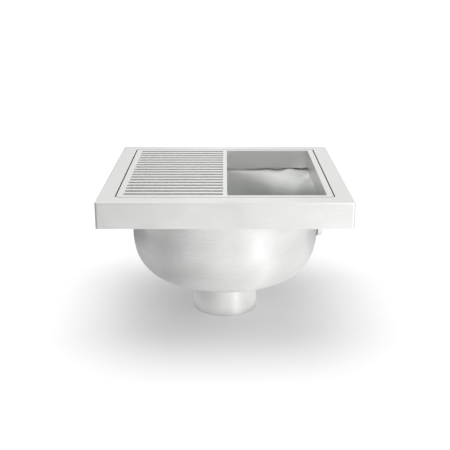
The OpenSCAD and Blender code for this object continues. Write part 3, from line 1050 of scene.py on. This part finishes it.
# %% [markdown]
# The floor is a plain pale sheet, and its own shading gives the soft shadow. Far away it
# gets less light than near the sink, so what the camera sees of it is lifted towards white
# with the distance, like a studio sweep. From below it is clear, so that the underside of
# the sink can be looked at too.

# %% Floor
FLOOR_SIZE = 30.0
FLOOR_LIFT, LIFT_FROM_TO = (0.13, 0.19), (0.10, 0.30)
FAR_LIFT, FAR_END = 0.43, 2.6
PALE, PALE_MIRRORED = (0.80, 0.80, 0.80, 1.0), (0.25, 0.25, 0.25, 1.0)


def floor_strength(tree, rays, seen):
    """How strongly the floor shines for the camera, and for rays that the metal sends out."""
    spot = spot_on(tree)
    place = parts(tree, spot)
    away = vector_math(tree, "LENGTH", spot)["Value"]
    near_lift = ramp(tree, away, *LIFT_FROM_TO, *FLOOR_LIFT)
    far_lift = ramp(tree, away, LIFT_FROM_TO[1], FAR_END, 0.0, FAR_LIFT)
    lift = math_node(tree, "ADD", near_lift, far_lift)
    for_camera = math_node(tree, "MULTIPLY", rays["Is Camera Ray"], lift)
    for_metal = math_node(tree, "MULTIPLY", seen, mirrored_floor(tree, place["X"], place["Y"]))
    return math_node(tree, "ADD", for_camera, for_metal)


def make_floor():
    bpy.ops.mesh.primitive_plane_add(size=FLOOR_SIZE, location=(0.0, 0.0, 0.0))
    floor = bpy.context.object
    floor.name = "floor"
    material = bpy.data.materials.new("studio floor")
    material.use_nodes = True
    tree = material.node_tree
    shader = tree.nodes["Principled BSDF"]
    rays = tree.nodes.new("ShaderNodeLightPath").outputs
    seen = math_node(tree, "MAXIMUM", rays["Is Glossy Ray"], rays["Is Transmission Ray"])
    below = tree.nodes.new("ShaderNodeNewGeometry").outputs["Backfacing"]
    # For the metal's rays the floor is darker and glows with the painted light of mirrored_floor.
    tree.links.new(mix(tree, "RGBA", seen, PALE, PALE_MIRRORED), shader.inputs["Base Color"])
    tree.links.new(floor_strength(tree, rays, seen), shader.inputs["Emission Strength"])
    tree.links.new(math_node(tree, "SUBTRACT", 1.0, below), shader.inputs["Alpha"])
    shader.inputs["Roughness"].default_value = 0.9
    shader.inputs["Specular IOR Level"].default_value = 0.1
    shader.inputs["Emission Color"].default_value = (1.0, 1.0, 1.0, 1.0)
    floor.data.materials.append(material)
    print("floor", FLOOR_SIZE, "m wide")


make_floor()

# %% [markdown]
# The world gives the soft light from all round, and a white background for the camera. The
# metal sees it white above, dim towards the left, and with a bright patch straight behind,
# which is what the level faces of the rim and the plate mirror.

# %% World
WORLD_SIDE, SIDE_FROM_TO = (0.10, 0.66), (-0.4, 0.2)
WORLD_MIDDLE, MIDDLE_HALF, MIDDLE_BEHIND = 0.75, 0.12, (0.5, 0.8)
WORLD_ABOVE, ABOVE_FROM = 0.95, 0.38
WORLD_SOFT = 0.62


def mirrored_world(tree):
    """How bright the metal sees the world."""
    direction = parts(tree, tree.nodes.new("ShaderNodeTexCoord").outputs["Generated"])
    aside = math_node(tree, "ABSOLUTE", direction["X"])
    patch = ramp(tree, aside, 0.0, MIDDLE_HALF, WORLD_MIDDLE, 0.0)
    patch = math_node(tree, "MULTIPLY", patch, ramp(tree, direction["Y"], *MIDDLE_BEHIND))
    side = math_node(tree, "ADD", patch, ramp(tree, direction["X"], *SIDE_FROM_TO, *WORLD_SIDE))
    return mix(tree, "FLOAT", ramp(tree, direction["Z"], 0.0, ABOVE_FROM), side, WORLD_ABOVE)


def make_world():
    world = bpy.data.worlds.new("studio")
    bpy.context.scene.world = world
    world.use_nodes = True
    tree = world.node_tree
    rays = tree.nodes.new("ShaderNodeLightPath").outputs
    lighting = mix(tree, "FLOAT", rays["Is Glossy Ray"], WORLD_SOFT, mirrored_world(tree))
    background = tree.nodes["Background"]
    background.inputs["Color"].default_value = (1.0, 1.0, 1.0, 1.0)
    tree.links.new(mix(tree, "FLOAT", rays["Is Camera Ray"], lighting, 1.0), background.inputs["Strength"])
    print("world: soft light", WORLD_SOFT)


make_world()

# %% [markdown]
# Two soft lamps: a wide one overhead draws the broad shadow on the floor, and a tall narrow
# one to the front right draws the upright bands on the bowl and the pipe. The metal doesn't
# mirror the wide one, because the world above is already white for it.

# %% Lamps
def area_lamp(name, spot, aim, width, height, power):
    data = bpy.data.lights.new(name, "AREA")
    data.shape = "RECTANGLE"
    data.size = width
    data.size_y = height
    data.energy = power
    lamp = bpy.data.objects.new(name, data)
    bpy.context.scene.collection.objects.link(lamp)
    lamp.location = spot
    lamp.rotation_euler = (Vector(aim) - Vector(spot)).to_track_quat("-Z", "Y").to_euler()
    print(f"lamp {name}: {power} W")
    return lamp


overhead = area_lamp(
    "overhead", spot=(-0.07, 0.10, 2.2), aim=(0.0, 0.0, 0.1), width=2.1, height=2.1, power=31.0,
)
overhead.visible_glossy = False
area_lamp(
    "tall strip", spot=(1.13, -1.45, 0.6), aim=(0.0, 0.0, 0.12), width=0.22, height=1.5, power=3.4,
)

# %% [markdown]
# The camera stands where the photographer stood: straight in front, a little above, with
# a lens of about 65 mm.

# %% Camera
CAMERA_SPOT = (0.0, -1.2374, 0.5330)
CAMERA_PITCH = math.radians(17.80)
LENS = 65.13


def make_camera():
    data = bpy.data.cameras.new("camera")
    data.lens = LENS
    data.sensor_width = 36.0
    data.clip_start = 0.01
    data.clip_end = 100.0
    camera = bpy.data.objects.new("camera", data)
    bpy.context.scene.collection.objects.link(camera)
    camera.location = CAMERA_SPOT
    camera.rotation_euler = (math.pi / 2 - CAMERA_PITCH, 0.0, 0.0)
    bpy.context.scene.camera = camera
    bpy.context.scene.view_settings.view_transform = "Standard"


make_camera()
print("camera at", CAMERA_SPOT)
